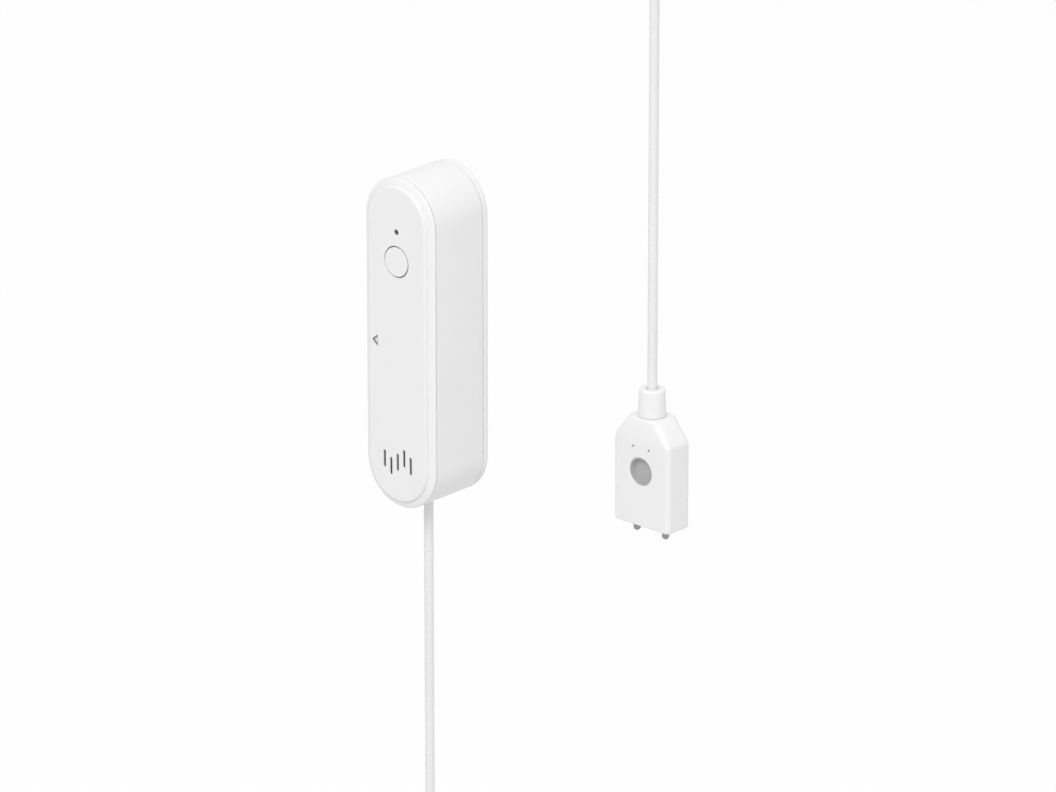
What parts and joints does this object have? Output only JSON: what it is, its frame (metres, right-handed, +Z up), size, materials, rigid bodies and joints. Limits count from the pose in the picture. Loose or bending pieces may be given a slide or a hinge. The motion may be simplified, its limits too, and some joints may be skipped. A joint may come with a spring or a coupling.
{
  "type": "water leak detector",
  "caption": "Pill-shaped wall unit with a round push button, sound slots and a status light, wired by a clipped lead to a flat probe with a round recess and contact pins.",
  "frame": {"origin": "middle of the wall unit's back, on the wall", "axes": "+Z up along the unit's length, -Y out of the wall towards the viewer, +X to the right seen from the front"},
  "size_m": [0.2638, 0.0245, 0.3856],
  "materials": {
    "white_shell": "satin white moulded plastic",
    "white_cover": "satin white moulded plastic",
    "white_button": "satin white moulded plastic",
    "white_probe": "satin white moulded plastic",
    "white_clip": "white moulded plastic",
    "white_tie": "white strap",
    "grey_cup": "grey moulded plastic",
    "lead_jacket": "white soft jacket, slightly shiny",
    "lead_core": "coloured insulation",
    "soft_rubber": "grey soft rubber",
    "pad_foam": "grey adhesive foam",
    "green_board": "solder-masked laminate",
    "black_chip": "moulded black",
    "white_header": "natural moulded plastic",
    "switch_plunger": "moulded black",
    "shield_steel": "plated steel",
    "pin_steel": "dark bright plated",
    "cell_can": "plain wrapped can",
    "black_plastic": "black moulded plastic",
    "smoked_pipe": "smoked moulded",
    "lamp": "clear resin"
  },
  "bodies": {
    "unit": {"housing": "white_shell", "back_plate": "white_shell", "probe_back": "white_shell", "front_cover": "white_cover", "probe_body": "white_probe", "probe_collar": "white_probe", "clip_low": "white_clip", "clip_corner": "white_clip", "clip_side": "white_clip", "clip_high": "white_clip", "clip_top": "white_clip", "clip_probe": "white_clip", "coil_tie_upper": "white_tie", "coil_tie_lower": "white_tie", "recess_cup": "grey_cup", "lead_upper": "lead_jacket", "lead_coil": "lead_jacket", "lead_run": "lead_jacket", "lead_tail": "lead_jacket", "probe_tail": "lead_jacket", "lead_cores": "lead_core", "probe_cores": "lead_core", "cable_grommet": "soft_rubber", "cover_seal": "soft_rubber", "adhesive_pad": "pad_foam", "circuit_board": "green_board", "probe_board": "green_board", "board_chips": "black_chip", "buzzer": "black_chip", "tact_switch": "black_chip", "lead_header": "white_header", "lead_plug": "white_header", "radio_module": "shield_steel", "antenna": "shield_steel", "board_screws": "shield_steel", "clamp_screws": "shield_steel", "spring_contacts": "shield_steel", "plate_contacts": "shield_steel", "contact_pin_left": "pin_steel", "contact_pin_right": "pin_steel", "left_cell": "cell_can", "right_cell": "cell_can", "battery_tray": "black_plastic", "cable_clamp": "black_plastic", "sound_mesh": "black_plastic", "light_pipe": "smoked_pipe", "status_led": "lamp"},
    "button": {"button_cap": "white_button", "switch_stem": "switch_plunger"}
  },
  "joints": [
    {"name": "button_press", "type": "slide", "parent": "unit", "child": "button", "axis": [0, 1, 0], "range_m": [0, 0.0004], "stiffness_N_per_m": 800, "springref_m": -0.002}
  ]
}
